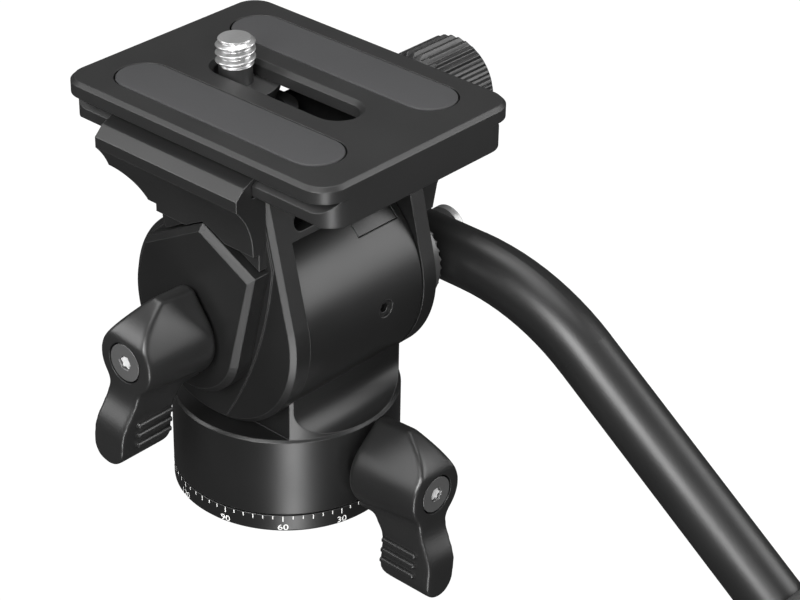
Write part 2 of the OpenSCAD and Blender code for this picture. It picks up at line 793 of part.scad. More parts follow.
// yoke casting: two arms, the platform and the boss of the clamp screw
module tilt_yoke() {
    under = clamp_rise - platform_t;
    color(black) difference() {
        union() {
            at_tilt() each_side() yoke_arm();
            at_tilt() yz_prism(-arm_in - 1, arm_in + 1) polygon([
                [rear_y(clamp_rise), clamp_rise], [rear_y(under), under], [platform_front, under],
                [platform_front, clamp_rise]]);
            at_tilt() rear_bar();
            at_clamp() x_cyl(clamp_boss_r, -arm_in - 1, arm_in + 1);
            at_tilt() mirror([1, 0, 0]) yz_prism(arm_out - 1, left_face) arm_boss();
        }
        at_tilt() x_cyl(axle_r + press_fit, -arm_out - 1, arm_in - 1);
        at_tilt() x_cyl(axle_end_r + press_fit, arm_in - 1, arm_out + 1);
        at_tilt() for (s = [-1, 1]) translate([s * axle_grub_x, 0, -arm_r - 1])
            cylinder(r = axle_grub_r + press_fit, h = arm_r + 1 - axle_end_r);
        at_clamp() x_cyl(clamp_screw_r + run_fit, clamp_screw_x0 - 1, arm_out + 1);
        at_pivot() x_cyl(bolt_r + press_fit, arm_in - 1, arm_out + 1);
        at_tilt() each_cover_screw() {
            x_cyl(cover_screw_r + 0.1, -arm_out - 1, -arm_in);
            x_cyl(cover_head_r + 0.1, -arm_in - cover_head_t, -arm_in + 1);
        }
        each_pin() x_cyl(pin_r + press_fit, pin_x0, arm_out + 1);
        each_jaw_screw() {
            x_cyl(jaw_screw_r + 0.1, -arm_out - 1, -arm_in);
            x_cyl(jaw_head_r + 0.1, -arm_in - jaw_head_t, -arm_in + 1);
        }
    }
}

module each_pin() {
    for (s = [-1, 1]) translate([0, clamp_y + s * pin_dy, pin_z]) children();
}

module each_jaw_screw() {
    for (s = [-1, 1]) translate([0, clamp_y + s * jaw_screw_dy, jaw_screw_z]) children();
}

module jaw_guide_pins() {
    color(steel) each_pin() x_cyl(pin_r, pin_x0 + 0.2, jaw_out - 1);
}

// jaw section, x out from the plate's centre: seat, hooked lip, bevel and hollow side
module jaw_section(x_in, foot_z, x_foot) {
    x_out = wall_x + jaw_t;
    difference() {
        polygon([[x_in, foot_z], [x_in, seat_z], [wall_x, seat_z], [wall_x, ridge_z + lip_gap / 2],
            lip_tip, [x_out - jaw_bevel, seat_z + 0.6 + jaw_bevel], [x_out, seat_z + 0.6],
            [x_out, jaw_side_z], [x_foot, jaw_side_z - 0.6], [x_foot, foot_z]]);
        translate([wall_x - 0.1 + jaw_hollow_r, jaw_side_z]) circle(r = jaw_hollow_r);
    }
}

// fixed jaw: lip over the plate, flared front end, foot that ends on the cover's gable
module fixed_jaw() {
    jaw_front = jaw_back + jaw_l;
    front_r = jaw_hollow_r - 1.3;
    front_z = jaw_side_z + 0.8;
    color(dark) difference() {
        intersection() {
            mirror([1, 0, 0]) xz_prism(jaw_back, jaw_front)
                jaw_section(left_face, tilt_z + roof_front[1], pad_face);
            yz_prism(-half_w - 5, -arm_out + 1) difference() {
                translate([jaw_back, tilt_z]) square([jaw_l, clamp_rise + 5]);
                translate([jaw_front, seat_z - 5 - front_r]) circle(r = front_r);
                translate([platform_front - 0.8, tilt_z]) square([jaw_l, front_z - tilt_z]);
                translate([0, tilt_z]) polygon([
                    [clamp_y, roof_peak + air], roof_back + [-0.1, air], roof_back - [5, 20],
                    roof_front + [9, -20], roof_front + [9, -5], roof_front + [0, air]]);
            }
        }
        each_jaw_screw() x_cyl(jaw_screw_r + press_fit, -arm_out - 2.2, -arm_out + 1);
    }
}

// screws from inside the yoke that hold the fixed jaw on the left arm
module jaw_screws() {
    color(steel) each_jaw_screw() difference() {
        union() {
            x_cyl(jaw_screw_r, -arm_out - 2, -arm_in - jaw_head_t + 0.2);
            x_cyl(jaw_head_r, -arm_in - jaw_head_t, -arm_in - 0.1);
        }
        translate([-arm_in - 1, 0, 0]) rotate([0, 90, 0]) cylinder(r = 0.9, h = 1.5, $fn = 6);
    }
}

// sliding jaw on the right, drawn in by the clamp knob
module movable_jaw() {
    color(dark) difference() {
        xz_prism(jaw_back, clamp_y + platform_half) polygon([
            [jaw_in, jaw_foot_z], [jaw_in, seat_z], [wall_x, seat_z], [wall_x, ridge_z + lip_gap / 2],
            lip_tip, [jaw_out - jaw_bevel - 0.3, seat_z + 0.6 + jaw_bevel], [jaw_out, seat_z + 0.6],
            [jaw_out, jaw_side_z - 0.8], [wall_x + jaw_t / 2, jaw_side_z - 3.8],
            [wall_x + jaw_t / 5, jaw_foot_z]]);
        at_clamp() x_cyl(clamp_screw_r + run_fit, jaw_in - 1, jaw_out + 1);
        at_clamp() x_cyl(clip_r + air, jaw_in - 1, jaw_in + 1.6);
        each_pin() x_cyl(pin_r + run_fit, jaw_in - 1, jaw_out - 0.6);
    }
}

module clamp_screw() {
    color(steel) at_clamp() x_cyl(clamp_screw_r, clamp_screw_x0, knob_end_x - 2);
}

module clamp_clip() {
    color(steel) at_clamp() x_ring(clamp_screw_r + press_fit, clip_r, jaw_in + 0.4, jaw_in + 1.4);
}

// ribbed barrel with rounded-off ends, coned neck towards the jaw
module clamp_knob() {
    rib_d = 0.55;
    color(dark) at_clamp() difference() {
        union() {
            translate([jaw_out + 0.1, 0, 0]) x_cyl(clamp_knob_r - 2.6, 0, knob_cone_x - jaw_out);
            translate([knob_cone_x, 0, 0]) rotate([0, 90, 0])
                cylinder(r1 = clamp_knob_r - 2.6, r2 = clamp_knob_r - rib_d, h = knob_rib_x - knob_cone_x);
            intersection() {
                yz_prism(knob_rib_x - 1, knob_end_x) polygon([
                    for (i = [0 : clamp_ribs - 1]) for (j = [0 : 3])
                        (j < 2 ? clamp_knob_r : clamp_knob_r - rib_d) *
                        [cos((i + (j + 0.5) / 4) * 360 / clamp_ribs),
                            sin((i + (j + 0.5) / 4) * 360 / clamp_ribs)]]);
                rotate([90, 0, 90]) rotate_extrude() polygon([
                    [0, knob_rib_x - 1], [clamp_knob_r - rib_d - 0.4, knob_rib_x - 1],
                    [clamp_knob_r + eps, knob_rib_x + 0.5], [clamp_knob_r + eps, knob_end_x - 0.8],
                    [clamp_knob_r - 0.8, knob_end_x], [0, knob_end_x]]);
            }
        }
        x_cyl(clamp_screw_r + press_fit, jaw_out - 1, knob_end_x - 1.9);
        x_cyl(clamp_knob_r - 2.4, knob_end_x - 0.5, knob_end_x + 1);
    }
}

module rounded_rect(w, l, r) {
    square([w - 2 * r, l], center = true);
    square([w, l - 2 * r], center = true);
    for (sx = [-1, 1]) for (sy = [-1, 1])
        translate([sx * (w / 2 - r), sy * (l / 2 - r)]) circle(r = r);
}

// layer of a rounded rectangle that draws in by its own height towards the top
module chamfer_layer(w, l, r, c) {
    for (sx = [-1, 1]) for (sy = [-1, 1])
        translate([sx * (w / 2 - r), sy * (l / 2 - r), 0]) cylinder(r1 = r, r2 = r - c, h = c);
    xz_prism(-(l / 2 - r), l / 2 - r)
        polygon([[-w / 2, 0], [w / 2, 0], [w / 2 - c, c], [c - w / 2, c]]);
    yz_prism(-(w / 2 - r), w / 2 - r)
        polygon([[-l / 2, 0], [l / 2, 0], [l / 2 - c, c], [c - l / 2, c]]);
}

// slot that widens by a chamfer at the plate's top
module screw_slot() {
    c = slot_chamfer;
    straight = slot_l / 2 - slot_half;
    translate([0, slot_y, plate_z - 1]) linear_extrude(plate_t + 2)
        rounded_rect(2 * slot_half, slot_l, slot_half - eps);
    translate([0, slot_y, plate_top - c]) {
        for (s = [-1, 1]) translate([0, s * straight, 0])
            cylinder(r1 = slot_half, r2 = slot_half + c + eps, h = c + eps);
        xz_prism(-straight, straight) polygon([[-slot_half, 0], [slot_half, 0],
            [slot_half + c + eps, c + eps], [-slot_half - c - eps, c + eps]]);
    }
}

// plate with V-grooved sides, slot, pad recesses and the pocket for screw head and ring
module quick_release_plate() {
    color(black) difference() {
        translate([0, plate_y, 0]) union() {
            translate([0, 0, plate_z]) linear_extrude(plate_t - plate_chamfer)
                rounded_rect(2 * ridge_x, plate_l, ridge_corner_r);
            translate([0, 0, flange_z]) linear_extrude(flange_h - plate_chamfer)
                rounded_rect(plate_w, plate_l, plate_corner_r);
            translate([0, 0, plate_top - plate_chamfer])
                chamfer_layer(plate_w, plate_l, plate_corner_r, plate_chamfer);
        }
        each_side() xz_prism(plate_y - plate_l, plate_y + plate_l) polygon([
            [half_w + 1, flange_z], [groove_x, flange_z], [ridge_x, ridge_z],
            [ridge_x, plate_z + 0.4], [ridge_x - 0.4, plate_z], [ridge_x - 0.4, plate_z - 1],
            [half_w + 1, plate_z - 1]]);
        screw_slot();
        translate([0, slot_y, plate_z - 1]) linear_extrude(pocket_top - plate_z + 1)
            rounded_rect(2 * pocket_half_x, 2 * pocket_half_y, 3);
        each_side() translate([pad_x, slot_y, plate_top - pad_d]) linear_extrude(pad_d + 1)
            rounded_rect(pad_w, pad_l, pad_w / 2 - eps);
    }
}

module plate_pads() {
    color(rubber) each_side() translate([pad_x, slot_y, plate_top - pad_d])
        linear_extrude(pad_d + 0.15)
            rounded_rect(pad_w - 0.5, pad_l - 0.5, pad_w / 2 - 0.25 - eps);
}

// washer that slides in the plate's pocket with the camera screw
module screw_washer() {
    color(steel) at_camera_screw()
        z_ring(screw_neck_r + run_fit, screw_head_r + 0.6, washer_z, pocket_top);
}

module camera_screw() {
    neck_top = plate_top + 0.3;
    top = plate_top + screw_rise;
    color(steel) at_camera_screw() difference() {
        rotate_extrude() polygon([
            [0, head_z], [screw_head_r, head_z], [screw_head_r, washer_z], [screw_neck_r, washer_z],
            [screw_neck_r, neck_top], [screw_r, neck_top + 0.5], [screw_r, top - 0.6],
            [screw_r - 0.6, top], [0, top]]);
        translate([-screw_head_r, -0.7, head_z - 1]) cube([2 * screw_head_r, 1.4, 1.6]);
    }
}

// folding ring below the screw's head, for turning the screw by hand
module screw_ring() {
    ring_w = 2;
    bow_r = screw_head_r - 0.6;
    bow_y = ring_reach - bow_r;
    ring_t = head_z - plate_z - 0.5;
    color(steel) at_camera_screw() translate([0, 0, plate_z + 0.4]) linear_extrude(ring_t)
        difference() {
            union() {
                circle(r = bow_r);
                translate([0, -bow_y]) circle(r = bow_r);
                translate([-bow_r, -bow_y]) square([2 * bow_r, bow_y]);
            }
            translate([0, -bow_y]) circle(r = bow_r - ring_w);
            translate([ring_w - bow_r, -bow_y]) square([2 * (bow_r - ring_w), bow_y - ring_w]);
        }
}

// toothed rosette on the right arm that the handle is clamped against
module handle_rosette() {
    teeth = 36;
    color(steel) at_pivot() difference() {
        union() {
            x_cyl(rosette_r, arm_out, rosette_out - 0.6);
            yz_prism(rosette_out - 0.6, rosette_out) polygon([
                for (i = [0 : teeth - 1]) for (j = [0, 1])
                    (rosette_r - 0.2 - j * 0.5) *
                    [cos((i + j / 2) * 360 / teeth), sin((i + j / 2) * 360 / teeth)]]);
        }
        x_cyl(bolt_r + press_fit, arm_out - 1, rosette_out + 1);
    }
}

module handle_washer() {
    color("#1d1d1e") at_pivot() x_ring(bolt_r + air, tube_r - 0.6, rosette_out, tube_flat);
}

// plug in the tube's end that the bolt passes through
module handle_plug() {
    color(dark) at_pivot() difference() {
        translate([handle_x, 0, 0]) y_cyl(tube_r - tube_wall - press_fit, -tube_end, tube_end + 0.8);
        x_cyl(bolt_r + run_fit, tube_flat - 1, tube_out + 1);
    }
}

// cranked tube: cross-drilled end with a flat, bend down, straight to the grip's end;
// the straight lengths are a hair slimmer than the bend and start inside its wall
module handle_tube() {
    bore_r = tube_r - tube_wall;
    tuck = 0.5;
    color(black) union() {
        difference() {
            translate([handle_x, bend_y, tilt_z]) rotate([-90, 0, 0])
                z_ring(bore_r + press_fit, tube_r - press_fit, -tuck, handle_run + tube_end);
            at_pivot() x_cyl(bolt_r + run_fit, tube_flat - 2, tube_out + 2);
            at_pivot() translate([tube_flat - 3, -tube_end - 1, -tube_r])
                cube([3, 2 * tube_end + 3, 2 * tube_r]);
        }
        translate([handle_x, bend_y, bend_z]) rotate([90, 0, 90]) rotate(90)
            rotate_extrude(angle = bend_angle) translate([bend_r, 0]) difference() {
                circle(r = tube_r);
                circle(r = bore_r);
            }
        at_shaft() z_ring(bore_r + press_fit, tube_r - press_fit, -tuck, shaft_l + grip_l - 1);
    }
}

// bolt screwed into the arm, with a low socket head the handle is clamped by
module handle_bolt() {
    rim = 0.35;
    color(steel) at_pivot() difference() {
        union() {
            x_cyl(bolt_r, arm_in + 0.6, tube_out + 1);
            x_cyl(bolt_head_r, tube_out, tube_out + bolt_head_h - rim);
            translate([tube_out + bolt_head_h - rim, 0, 0]) rotate([0, 90, 0])
                cylinder(r1 = bolt_head_r, r2 = bolt_head_r - rim, h = rim);
        }
        translate([tube_out, 0, 0]) rotate([0, 90, 0]) cylinder(r = 1.9, h = bolt_head_h + 1, $fn = 6);
    }
}

// foam sleeve with a rounded collar at its front end
module handle_grip() {
    color(rubber) at_shaft() translate([0, 0, shaft_l]) rotate_extrude() polygon([
        [tube_r + press_fit, 0], [grip_r - 1.5, 0], [grip_r - 0.4, 0.5], [grip_r, 1.6],
        [grip_r, grip_l], [tube_r + press_fit, grip_l]]);
}

module grip_cap() {
    cap_l = 4;
    color(dark) at_shaft() translate([0, 0, shaft_l + grip_l]) rotate_extrude() polygon([
        [0, -6], [tube_r - tube_wall - press_fit, -6], [tube_r - tube_wall - press_fit, 0],
        [grip_r, 0], [grip_r, cap_l - 1.5], [grip_r - 1.5, cap_l], [0, cap_l]]);
}

base_ring();
pan_spindle();
tripod_bush();
base_screws();
pan_thrust_washer();
pan_top_washer();
pan_spring();
pan_nut();
pan_housing();
neck_plug();
pan_brake_shoe();
tilt_bushes();
tilt_seals();
drag_stator_discs();
drum_grub_screw();
drum_plate();
pan_lock_knob();
pan_lock_stud();
pan_lock_cap();
tilt_yoke();
fixed_jaw();
jaw_screws();
tilt_cover();
cover_screws();
tilt_axle();
drag_rotor_discs();
axle_grub_screws();
tilt_spring_washers();
handle_rosette();
jaw_guide_pins();
tilt_lock_knob();
tilt_lock_insert();
tilt_lock_cap();
movable_jaw();
clamp_knob();
clamp_screw();
clamp_clip();
quick_release_plate();
plate_pads();
screw_washer();
camera_screw();
screw_ring();
handle_plug();
handle_tube();
handle_washer();
handle_bolt();
handle_grip();
grip_cap();
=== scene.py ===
# Fluid video head: the looks of every piece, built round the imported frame, in metres.
import math

import bpy
from mathutils import Matrix, Vector


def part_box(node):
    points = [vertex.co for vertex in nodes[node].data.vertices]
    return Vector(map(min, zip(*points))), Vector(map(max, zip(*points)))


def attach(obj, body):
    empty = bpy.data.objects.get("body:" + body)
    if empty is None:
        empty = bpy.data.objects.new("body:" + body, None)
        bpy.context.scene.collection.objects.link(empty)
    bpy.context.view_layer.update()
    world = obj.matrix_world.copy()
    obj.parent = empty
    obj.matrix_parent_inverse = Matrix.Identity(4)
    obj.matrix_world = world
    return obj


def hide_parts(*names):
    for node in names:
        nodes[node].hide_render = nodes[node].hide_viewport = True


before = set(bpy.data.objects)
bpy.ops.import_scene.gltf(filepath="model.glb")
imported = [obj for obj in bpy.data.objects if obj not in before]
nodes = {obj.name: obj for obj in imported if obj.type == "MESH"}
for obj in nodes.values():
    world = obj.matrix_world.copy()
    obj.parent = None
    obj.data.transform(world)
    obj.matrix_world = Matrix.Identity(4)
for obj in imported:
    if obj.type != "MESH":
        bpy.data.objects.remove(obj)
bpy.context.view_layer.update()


# Scale ring
# The lowest ring of the pan base, turned from aluminium, blasted and anodised black.
# Three countersunk screws hold it to the spindle's flange from below.
mm = 0.001


class Shade:
    """A socket in a finish's node tree. Arithmetic on it adds Math nodes."""

    def __init__(self, tree, socket=None):
        self.tree = tree
        self.socket = socket

    def node(self, kind, settings, sockets, out=0):
        """A new node: its settings first, then the values or links of its sockets."""
        made = self.tree.nodes.new("ShaderNode" + kind)
        for name, value in settings.items():
            setattr(made, name, value)
        for name, value in sockets.items():
            if isinstance(value, Shade):
                self.tree.links.new(value.socket, made.inputs[name])
            else:
                made.inputs[name].default_value = value
        return Shade(self.tree, made.outputs[out]) if made.outputs else None

    def math(self, operation, first, second):
        return self.node("Math", {"operation": operation}, {0: first, 1: second})

    def __add__(self, other):
        return self.math("ADD", self, other)

    __radd__ = __add__

    def __sub__(self, other):
        return self.math("SUBTRACT", self, other)

    def __rsub__(self, other):
        return self.math("SUBTRACT", other, self)

    def __mul__(self, other):
        return self.math("MULTIPLY", self, other)

    __rmul__ = __mul__


def new_finish(name):
    """An empty material and a Shade that adds nodes to it."""
    material = bpy.data.materials.new(name)
    material.use_nodes = True
    material.node_tree.nodes.clear()
    return material, Shade(material.node_tree)


def object_place(shade, stretch=(1, 1, 1)):
    """The point on the piece, in the frame's metres, stretched along its axes."""
    place = shade.node("TexCoord", {}, {}, out="Object")
    return shade.node("Mapping", {}, {"Vector": place, "Scale": stretch})


def speckle(shade, place, size, detail=2.0):
    """Noise between 0 and 1 with grains of about that size in metres."""
    sockets = {"Vector": place, "Scale": 1 / (2 * size), "Detail": detail}
    return shade.node("TexNoise", {}, sockets, out="Fac")


edge_gain = 4.0
edge_samples = 6


def edge_and_normal(shade, radius):
    """How close the surface is to an edge, 0 to 1, and its normal with that edge rounded."""
    rounded = shade.node("Bevel", {"samples": edge_samples}, {"Radius": radius})
    plain = shade.node("NewGeometry", {}, {}, out="Normal")
    pair = {0: rounded, 1: plain}
    along = shade.node("VectorMath", {"operation": "DOT_PRODUCT"}, pair, out="Value")
    return shade.node("Clamp", {}, {"Value": (1 - along) * edge_gain}), rounded


def grey(tone):
    return (tone, tone, tone)


def blend_tones(shade, share, low, high):
    """Colour that goes from low to high as share goes from 0 to 1."""
    first, last = [end if isinstance(end, Shade) else (*end, 1) for end in (low, high)]
    return shade.node("Mix", {"data_type": "RGBA"}, {0: share, 6: first, 7: last}, out=2)


def relief(shade, height, strength, depth, rounded=None):
    """Normal with a fine relief, laid over rounded edges where they are given."""
    sockets = {"Strength": strength, "Distance": depth, "Height": height}
    if rounded:
        sockets["Normal"] = rounded
    return shade.node("Bump", {}, sockets)


def close_finish(material, shade, sockets):
    """Ends a finish with its shader and the output."""
    surface = shade.node("BsdfPrincipled", {}, sockets)
    shade.node("OutputMaterial", {}, {"Surface": surface})
    return material


def blasted_black(name, tone, rough, edge_tone, edge_r=0.22 * mm):
    """Anodised aluminium: even black, finely blasted, with the edges a little brighter: partly
    rubbed wear, partly a painted highlight.
    """
    blast_size, cloud_size, wear_and_highlight_size = 0.12 * mm, 6 * mm, 1.5 * mm
    tone_spread, least_wear_and_highlight = 0.2, 0.35
    cloud_gloss, wear_gloss = 0.1, 0.08
    material, shade = new_finish(name)
    place = object_place(shade)
    grain = speckle(shade, place, blast_size, detail=3.0)
    cloud = speckle(shade, place, cloud_size)
    edge, rounded = edge_and_normal(shade, edge_r)
    # Lighter colour along every edge: partly rubbed wear, partly a painted highlight on the
    # edges.
    wear_and_edge_highlight = edge * (least_wear_and_highlight + (1 - least_wear_and_highlight) * speckle(shade, place, wear_and_highlight_size))
    dark, light = grey((1 - tone_spread) * tone), grey((1 + tone_spread) * tone)
    skin_tone = blend_tones(shade, 0.5 * grain + 0.5 * cloud, dark, light)
    return close_finish(material, shade, {
        "Base Color": blend_tones(shade, wear_and_edge_highlight, skin_tone, grey(edge_tone)),
        "Roughness": rough - cloud_gloss / 2 + cloud_gloss * cloud - wear_gloss * wear_and_edge_highlight,
        "Normal": relief(shade, grain, strength=0.05, depth=0.02 * mm, rounded=rounded),
        "Specular IOR Level": 0.4,
    })


def dress(material, *names):
    """Gives CAD nodes a finish."""
    for name in names:
        piece = nodes[name]
        if not piece.material_slots:
            piece.data.materials.append(material)
        for held in piece.material_slots:
            held.material = material


anodised = blasted_black("anodised_black", tone=0.007, rough=0.37, edge_tone=0.06)
dress(anodised, "base_ring")


# Degree scale
# White paint filled into fine cuts round the scale ring: a tick every five degrees, a
# longer one every fifteen and a numeral every thirty.
def add_piece(name, mesh, material, body, crease):
    """Puts a mesh into the frame as a piece on a body, shaded smooth up to the crease angle."""
    mesh.materials.append(material)
    mesh.set_sharp_from_angle(angle=math.radians(crease))
    piece = bpy.data.objects.new(name, mesh)
    bpy.context.scene.collection.objects.link(piece)
    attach(piece, body)
    return piece


def mesh_piece(name, points, faces, material, body, crease=30):
    """A new piece from its points and faces."""
    mesh = bpy.data.meshes.new(name)
    mesh.from_pydata(points, [], faces)
    mesh.update()
    mesh.polygons.foreach_set("use_smooth", [True] * len(mesh.polygons))
    return add_piece(name, mesh, material, body, crease)


def joined(*solids):
    """Several lots of points and faces as one."""
    points, faces = [], []
    for more, sides in solids:
        faces += [[len(points) + i for i in side] for side in sides]
        points += more
    return points, faces


def paint_white(name):
    """Thin white paint, a little uneven where it was wiped into the cuts."""
    wipe_size = 0.25 * mm
    thin, thick = (0.5, 0.5, 0.49), (0.7, 0.7, 0.69)
    material, shade = new_finish(name)
    wiped = speckle(shade, object_place(shade), wipe_size, detail=3.0)
    return close_finish(material, shade, {
        "Base Color": blend_tones(shade, wiped, thin, thick),
        "Roughness": 0.5 + 0.2 * wiped,
    })


ring_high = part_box("base_ring")[1]
ring_r = ring_high.x
paint_r = ring_r + 0.012 * mm
cut_r = ring_r - 0.05 * mm
sixty_at = math.radians(-137.7)
tick_degrees, numeral_degrees = 5, 30
scale_step = math.radians(tick_degrees)
ticks_apart = numeral_degrees // tick_degrees
tick_top = ring_high.z - 0.1 * mm
tick_half = 0.075 * mm / ring_r
long_tick, middle_tick, short_tick = 1.0 * mm, 0.8 * mm, 0.6 * mm
box_faces = ((0, 2, 3, 1), (4, 5, 7, 6), (0, 1, 5, 4), (2, 6, 7, 3), (0, 4, 6, 2), (1, 3, 7, 5))


def around(angle, height, radius):
    """A point at an angle round the Z axis."""
    return Vector((radius * math.cos(angle), radius * math.sin(angle), height))


def tick_length(k):
    """The ticks at the numerals are the longest, those halfway between a little shorter."""
    if k % ticks_apart == 0:
        return long_tick
    return middle_tick if 2 * k % ticks_apart == 0 else short_tick


def tick(k):
    """One painted cut: a thin box let into the ring."""
    at = sixty_at + k * scale_step
    points = []
    for r in (paint_r, cut_r):
        for z in (tick_top, tick_top - tick_length(k)):
            points += [around(at - tick_half, z, r), around(at + tick_half, z, r)]
    return points, box_faces


scale_white = paint_white("scale_white")
ticks, tick_faces = joined(*[tick(k) for k in range(360 // tick_degrees)])
mesh_piece("scale_ticks", ticks, tick_faces, scale_white, "base")

numeral_foot = 0.45 * mm
numeral_size = 1.5 * mm
numeral_stretch = 1.2


def numeral(degrees):
    """The filled outline of a number, bent round the ring and centred on its tick."""
    letters = bpy.data.curves.new("numeral", "FONT")
    letters.body = str(degrees)
    letters.size = numeral_size
    letters.align_x = "CENTER"
    letters.resolution_u = 6
    holder = bpy.data.objects.new("numeral", letters)
    bpy.context.scene.collection.objects.link(holder)
    flat = holder.evaluated_get(bpy.context.evaluated_depsgraph_get()).to_mesh()
    at = sixty_at + (60 - degrees) // tick_degrees * scale_step
    points = []
    for v in flat.vertices:
        aside = numeral_stretch * v.co.x / ring_r
        points.append(around(at + aside, numeral_foot + v.co.y, paint_r))
    faces = [list(p.vertices) for p in flat.polygons]
    bpy.data.objects.remove(holder)
    bpy.data.curves.remove(letters)
    return points, faces


numerals, numeral_faces = joined(*[numeral(d) for d in range(0, 360, numeral_degrees)])
mesh_piece("scale_numerals", numerals, numeral_faces, scale_white, "base")


# Pan bearing
# The steel spindle with its flange, the bearing-plastic washer it turns on, and the
# washer, wave spring and nut that hold the housing down; brass bush for the tripod screw.
def turned_metal(name, tone, rough, warm=(1, 1, 1), metal=1.0):
    """Bare machined metal: fine turning marks and a light, uneven sheen."""
    mark_size, cloud_size, edge_r = 0.15 * mm, 3 * mm, 0.1 * mm
    mark_stretch = (1, 1, 6)
    dull, shiny = 0.82, 1.1
    cloud_gloss, edge_gloss = 0.12, 0.08
    material, shade = new_finish(name)
    marks = speckle(shade, object_place(shade, mark_stretch), mark_size, detail=4.0)
    cloud = speckle(shade, object_place(shade), cloud_size)
    edge, rounded = edge_and_normal(shade, edge_r)
    low, high = [tuple(share * tone * w for w in warm) for share in (dull, shiny)]
    return close_finish(material, shade, {
        "Base Color": blend_tones(shade, 0.6 * marks + 0.4 * cloud, low, high),
        "Metallic": metal,
        "Roughness": rough + cloud_gloss * cloud - edge_gloss * edge,
        "Normal": relief(shade, marks, strength=0.05, depth=0.004 * mm, rounded=rounded),
    })


def moulded_skin(name, low, high, rough):
    """Moulded plastic or rubber with a fine, slightly mottled skin."""
    grain_size, cloud_size, edge_r = 0.15 * mm, 4 * mm, 0.2 * mm
    cloud_gloss = 0.12
    material, shade = new_finish(name)
    place = object_place(shade)
    grain = speckle(shade, place, grain_size, detail=3.0)
    cloud = speckle(shade, place, cloud_size)
    rounded = edge_and_normal(shade, edge_r)[1]
    return close_finish(material, shade, {
        "Base Color": blend_tones(shade, 0.5 * grain + 0.5 * cloud, low, high),
        "Roughness": rough - cloud_gloss / 2 + cloud_gloss * cloud,
        "Normal": relief(shade, grain, strength=0.2, depth=0.03 * mm, rounded=rounded),
    })


def ring_row(radius, height, sides=72):
    """A ring of points round the Z axis; radius(angle, height) is each one's distance from it."""
    turn = [math.tau * i / sides for i in range(sides)]
    return [around(a, height, radius(a, height)) for a in turn]


def round_rows(radius, *levels):
    """Plain round rings at some heights."""
    return [ring_row(lambda a, z: radius, level) for level in levels]


def skin(rows, closed=False):
    """Points and faces over rings of equal length, capped, or closed from last to first."""
    sides = len(rows[0])
    points = [p for row in rows for p in row]
    last = len(rows) - 1
    faces = []
    for low, high in [(k, k + 1) for k in range(last)] + ([(last, 0)] if closed else []):
        for i in range(sides):
            j = (i + 1) % sides
            faces.append([low * sides + i, low * sides + j, high * sides + j, high * sides + i])
    if not closed:
        faces.append(list(reversed(range(sides))))
        faces.append([last * sides + i for i in range(sides)])
    return points, faces


thread_flat = 0.14


def thread_flank(angle, height, pitch):
    """How far up the thread's flank a point is: 0 in the root, 1 on the crest."""
    phase = (height / pitch - angle / math.tau) % 1
    climb = (1 - abs(2 * phase - 1) - thread_flat) / (1 - 2 * thread_flat)
    return min(max(climb, 0), 1)


def heights(low, high, step):
    """Even levels from low to high, at most a step apart."""
    count = math.ceil((high - low) / step)
    return [low + (high - low) * i / count for i in range(count + 1)]


inch = 25.4 * mm
bush_low, bush_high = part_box("tripod_bush")
bush_pitch = inch / 16
bush_crest, bush_root = 4.0 * mm, 4.72 * mm
bush_step = 0.15 * mm


def bush_wall(angle, height):
    """The tapped hole, opened out at its mouth."""
    cut = bush_root - (bush_root - bush_crest) * thread_flank(angle, height, bush_pitch)
    return max(cut, bush_root - (height - bush_low.z))


steel = turned_metal("turned_steel", tone=0.62, rough=0.24)
brass = turned_metal("turned_brass", tone=0.62, rough=0.28, warm=(1, 0.76, 0.38))
slip_white = moulded_skin("bearing_plastic", (0.72, 0.70, 0.64), (0.8, 0.78, 0.72), rough=0.4)
bush_levels = heights(bush_low.z, bush_high.z, bush_step)
bush_rows = round_rows(bush_high.x, bush_low.z, bush_high.z)
bush_rows += [ring_row(bush_wall, z) for z in reversed(bush_levels)]
bush, bush_faces = skin(bush_rows, closed=True)
tapped_bush = mesh_piece("tapped_bush", bush, bush_faces, brass, "base", crease=40)
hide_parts("tripod_bush")
dress(steel, "pan_spindle", "base_screws", "pan_top_washer", "pan_spring", "pan_nut")
dress(slip_white, "pan_thrust_washer")


# Pan housing and drum
# One casting: round foot, scooped neck and the horizontal tilt drum, machined, blasted and
# anodised like the ring, with a small inset plate and a hex set screw in the drum's back.
black_steel = turned_metal("blackened_steel", tone=0.10, rough=0.34)
seal_rubber = moulded_skin("seal_rubber", grey(0.012), grey(0.02), rough=0.55)
dress(anodised, "pan_housing", "drum_plate", "neck_plug")
dress(black_steel, "drum_grub_screw")
dress(brass, "pan_brake_shoe", "tilt_bushes", "drag_rotor_discs")
dress(steel, "drag_stator_discs")
dress(seal_rubber, "tilt_seals")


# Lock knobs
# Two wing knobs of one pattern, moulded in black plastic: a flared barrel with a ridge, a
# kicked lever with grip ribs, and a grey steel cap. One locks the pan, the other the tilt.
def prism(outline, low, high):
    """An outline in X and Y drawn straight along Z, as points and faces."""
    return skin([[Vector((x, y, z)) for x, y in outline] for z in (low, high)])


def arc(middle, radius, start, end, steps):
    """Points on a circle from one angle to another, in degrees."""
    turn = [math.radians(start + (end - start) * i / steps) for i in range(steps + 1)]
    return [(middle[0] + radius * math.cos(a), middle[1] + radius * math.sin(a)) for a in turn]


def both_sides(half):
    """A closed outline from its left half, listed from the top down, and the mirror of it."""
    return half + [(-x, y) for x, y in reversed(half)]


def ease(t):
    """A soft start and stop between 0 and 1."""
    return (1 - math.cos(math.pi * t)) / 2


def curve(start, pull, end, steps):
    """Points on a curve that leaves start towards pull and reaches end from it."""
    points = []
    for t in [i / steps for i in range(steps + 1)]:
        near, middle, far = (1 - t) ** 2, 2 * t * (1 - t), t * t
        points.append(tuple(near * a + middle * b + far * c for a, b, c in zip(start, pull, end)))
    return points


